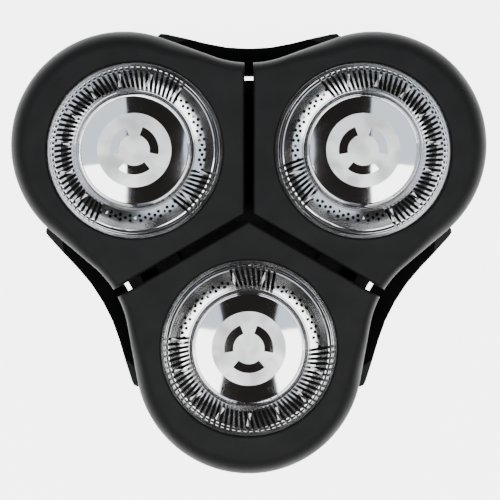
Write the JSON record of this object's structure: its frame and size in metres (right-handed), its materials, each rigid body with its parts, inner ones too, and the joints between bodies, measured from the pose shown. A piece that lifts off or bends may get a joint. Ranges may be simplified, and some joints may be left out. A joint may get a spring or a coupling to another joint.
{
  "type": "rotary shaving head",
  "caption": "Detachable three-head rotary shaving unit with tilting petals, slotted floating caps over gear-driven spinning cutters and a round coupling neck.",
  "frame": {"origin": "on the head axis, in the open end face of the coupling neck", "axes": "+Z along the head axis towards the cutters; +Y towards the gap between petals a and b; petal c points to -Y"},
  "size_m": [0.0658, 0.0614, 0.034],
  "materials": {
    "housing": "fine textured black",
    "frame": "satin black",
    "cover": "soft-touch charcoal",
    "shell": "satin black",
    "carrier": "moulded dark grey",
    "ring": "moulded grey",
    "hub": "moulded",
    "gear": "natural acetal",
    "bush": "sintered",
    "steel": "turned",
    "spindle": "turned",
    "spring": "drawn wire",
    "blade": "ground",
    "cap": "polished",
    "disc": "mirror polished",
    "badge": "printed white",
    "seal": "moulded"
  },
  "bodies": {
    "root": {"gear_housing": "housing", "support_frame": "frame", "sun_bush": "bush", "gear_axles": "steel", "gear_screws": "steel", "seal_ring": "seal", "hinge_pins_a": "steel", "petal_spring_a": "spring", "hinge_pins_b": "steel", "petal_spring_b": "spring", "hinge_pins_c": "steel", "petal_spring_c": "spring"},
    "sun_gear": {"sun_gear": "gear"},
    "petal_a": {"petal_shell_a": "shell", "petal_cover_a": "cover", "retaining_ring_a": "ring"},
    "cap_a": {"shaving_cap_a": "cap", "cap_disc_a": "disc", "cap_badge_a": "badge", "cap_carrier_a": "carrier"},
    "cutter_a": {"cutter_blades_a": "blade", "cutter_hub_a": "hub", "drive_spindle_a": "spindle"},
    "drive_gear_a": {"drive_gear_a": "gear", "spindle_spring_a": "spring"},
    "petal_b": {"petal_shell_b": "shell", "petal_cover_b": "cover", "retaining_ring_b": "ring"},
    "cap_b": {"shaving_cap_b": "cap", "cap_disc_b": "disc", "cap_badge_b": "badge", "cap_carrier_b": "carrier"},
    "cutter_b": {"cutter_blades_b": "blade", "cutter_hub_b": "hub", "drive_spindle_b": "spindle"},
    "drive_gear_b": {"drive_gear_b": "gear", "spindle_spring_b": "spring"},
    "petal_c": {"petal_shell_c": "shell", "petal_cover_c": "cover", "retaining_ring_c": "ring"},
    "cap_c": {"shaving_cap_c": "cap", "cap_disc_c": "disc", "cap_badge_c": "badge", "cap_carrier_c": "carrier"},
    "cutter_c": {"cutter_blades_c": "blade", "cutter_hub_c": "hub", "drive_spindle_c": "spindle"},
    "drive_gear_c": {"drive_gear_c": "gear", "spindle_spring_c": "spring"}
  },
  "joints": [
    {"name": "sun_spin", "type": "hinge", "parent": "root", "child": "sun_gear", "pos_m": [0, 0, 0.01], "axis": [0, 0, 1], "continuous": true},
    {"name": "petal_tilt_a", "type": "hinge", "parent": "root", "child": "petal_a", "pos_m": [-0.01572, 0.00908, 0.02], "axis": [-0.5, -0.866, 0], "range_deg": [0, 8], "stiffness_Nm_per_rad": 0.05, "springref_deg": -5.73, "deforming": ["petal_spring_a"]},
    {"name": "cap_float_a", "type": "slide", "parent": "petal_a", "child": "cap_a", "axis": [0, 0, 1], "range_m": [-0.001, 0], "stiffness_N_per_m": 200, "springref_m": 0.002, "deforming": ["spindle_spring_a"]},
    {"name": "gear_spin_a", "type": "hinge", "parent": "root", "child": "drive_gear_a", "pos_m": [-0.01572, 0.00908, 0.01], "axis": [0, 0, 1], "continuous": true},
    {"name": "cutter_spin_a", "type": "hinge", "parent": "cap_a", "child": "cutter_a", "pos_m": [-0.01572, 0.00908, 0.03], "axis": [0, 0, 1], "continuous": true},
    {"name": "petal_tilt_b", "type": "hinge", "parent": "root", "child": "petal_b", "pos_m": [0.01572, 0.00908, 0.02], "axis": [-0.5, 0.866, 0], "range_deg": [0, 8], "stiffness_Nm_per_rad": 0.05, "springref_deg": -5.73, "deforming": ["petal_spring_b"]},
    {"name": "cap_float_b", "type": "slide", "parent": "petal_b", "child": "cap_b", "axis": [0, 0, 1], "range_m": [-0.001, 0], "stiffness_N_per_m": 200, "springref_m": 0.002, "deforming": ["spindle_spring_b"]},
    {"name": "gear_spin_b", "type": "hinge", "parent": "root", "child": "drive_gear_b", "pos_m": [0.01572, 0.00908, 0.01], "axis": [0, 0, 1], "continuous": true},
    {"name": "cutter_spin_b", "type": "hinge", "parent": "cap_b", "child": "cutter_b", "pos_m": [0.01572, 0.00908, 0.03], "axis": [0, 0, 1], "continuous": true},
    {"name": "petal_tilt_c", "type": "hinge", "parent": "root", "child": "petal_c", "pos_m": [0, -0.01815, 0.02], "axis": [1, 0, 0], "range_deg": [0, 8], "stiffness_Nm_per_rad": 0.05, "springref_deg": -5.73, "deforming": ["petal_spring_c"]},
    {"name": "cap_float_c", "type": "slide", "parent": "petal_c", "child": "cap_c", "axis": [0, 0, 1], "range_m": [-0.001, 0], "stiffness_N_per_m": 200, "springref_m": 0.002, "deforming": ["spindle_spring_c"]},
    {"name": "gear_spin_c", "type": "hinge", "parent": "root", "child": "drive_gear_c", "pos_m": [0, -0.01815, 0.01], "axis": [0, 0, 1], "continuous": true},
    {"name": "cutter_spin_c", "type": "hinge", "parent": "cap_c", "child": "cutter_c", "pos_m": [0, -0.01815, 0.03], "axis": [0, 0, 1], "continuous": true}
  ],
  "couplings": [
    {"joint": "gear_spin_a", "follows": "sun_spin", "ratio": -1.4444},
    {"joint": "cutter_spin_a", "follows": "sun_spin", "ratio": -1.4444},
    {"joint": "gear_spin_b", "follows": "sun_spin", "ratio": -1.4444},
    {"joint": "cutter_spin_b", "follows": "sun_spin", "ratio": -1.4444},
    {"joint": "gear_spin_c", "follows": "sun_spin", "ratio": -1.4444},
    {"joint": "cutter_spin_c", "follows": "sun_spin", "ratio": -1.4444}
  ]
}
